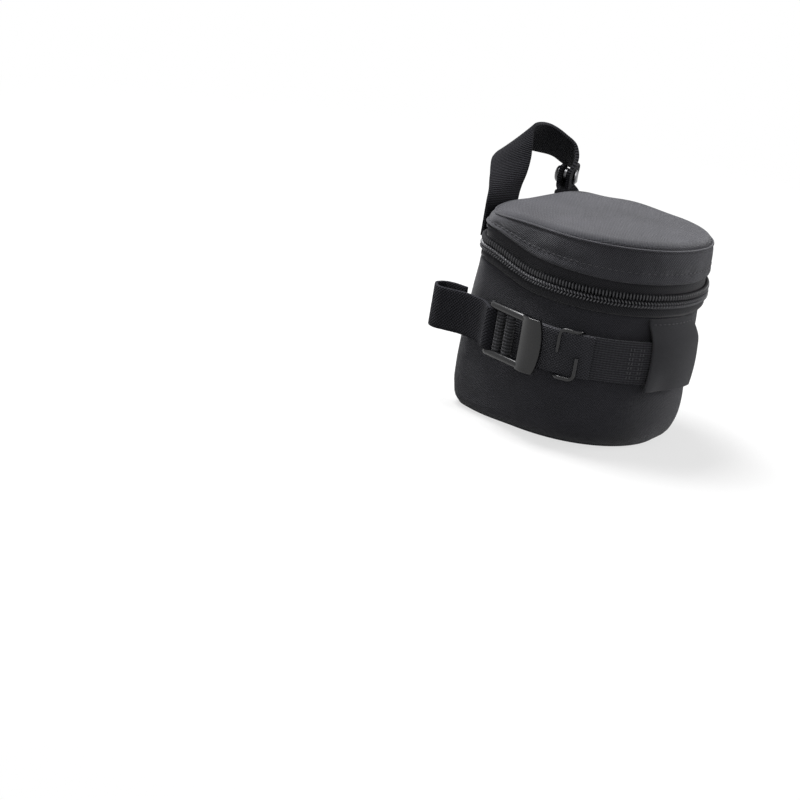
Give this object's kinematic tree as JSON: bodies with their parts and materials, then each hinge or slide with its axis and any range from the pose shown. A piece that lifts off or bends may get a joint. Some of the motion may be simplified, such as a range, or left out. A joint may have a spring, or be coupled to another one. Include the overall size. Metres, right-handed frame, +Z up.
{
  "type": "lens pouch",
  "caption": "Padded soft lens pouch with a flat back, a domed zip lid, a press-stud hanging loop and a buckled side strap with belt loop.",
  "frame": {"origin": "centre of the half circle of the front, on the flat underside", "axes": "+Z up through the lid, -Y towards the label on the rounded front, +Y towards the flat back, -X towards the buckle"},
  "size_m": [0.1085, 0.1244, 0.1266],
  "materials": {
    "shell_fabric": "matt charcoal woven polyester",
    "lining_fabric": "brushed tricot",
    "foam": "closed-cell foam padding",
    "webbing": "black woven webbing and tape",
    "zip_coil": "nylon coil",
    "moulded_plastic": "satin black acetal",
    "blackened_metal": "blackened metal"
  },
  "bodies": {
    "pouch": {"base_panel": "shell_fabric", "base_welt": "webbing", "body_wall": "shell_fabric", "back_panel": "shell_fabric", "wall_foam": "foam", "back_foam": "foam", "base_foam": "foam", "lining_cup": "lining_fabric", "zip_tape_lower": "webbing", "zip_coil_lower": "zip_coil", "label_tab": "shell_fabric", "strap_run": "webbing", "strap_tail": "webbing", "belt_loop": "webbing"},
    "lid": {"lid_band": "shell_fabric", "lid_back_panel": "shell_fabric", "lid_welt": "webbing", "lid_top_panel": "shell_fabric", "lid_foam": "foam", "lid_lining": "lining_fabric", "zip_tape_upper": "webbing", "zip_coil_upper": "zip_coil", "loop_leg": "webbing", "snap_tab_base": "webbing"},
    "hang_loop": {"loop_strap": "webbing", "snap_stud": "blackened_metal", "snap_post": "blackened_metal"},
    "stud_tab": {"snap_tab": "webbing", "snap_socket": "blackened_metal", "snap_cap": "blackened_metal"},
    "slider": {"zip_slider": "blackened_metal"},
    "pull": {"zip_pull": "blackened_metal"},
    "keeper": {"strap_keeper": "moulded_plastic"},
    "buckle": {"ladder_buckle": "moulded_plastic", "webbing_fold_rear": "webbing", "webbing_fold_front": "webbing"}
  },
  "joints": [
    {"name": "lid_hinge", "type": "hinge", "parent": "pouch", "child": "lid", "pos_m": [0, 0.0475, 0.074], "axis": [-1, 0, 0], "range_deg": [0, 100]},
    {"name": "loop_swing", "type": "hinge", "parent": "lid", "child": "hang_loop", "pos_m": [0, 0.0492, 0.0947], "axis": [-1, 0, 0], "range_deg": [0, 45]},
    {"name": "snap_release", "type": "hinge", "parent": "hang_loop", "child": "stud_tab", "pos_m": [0, 0.0492, 0.0947], "axis": [-1, 0, 0], "range_deg": [0, 50]},
    {"name": "zip_slide", "type": "hinge", "parent": "pouch", "child": "slider", "pos_m": [0, 0, 0.074], "axis": [0, 0, -1], "range_deg": [0, 153]},
    {"name": "pull_swing", "type": "hinge", "parent": "slider", "child": "pull", "pos_m": [0.05071, -0.00442, 0.074], "axis": [0, 0, -1], "range_deg": [0, 160]},
    {"name": "keeper_slide", "type": "hinge", "parent": "pouch", "child": "keeper", "pos_m": [0, 0, 0.045], "axis": [0, 0, 1], "range_deg": [-4.5, 22]},
    {"name": "buckle_tilt", "type": "hinge", "parent": "pouch", "child": "buckle", "pos_m": [-0.0508, 0.0174, 0.045], "axis": [0, 0, -1], "range_deg": [0, 25]}
  ]
}
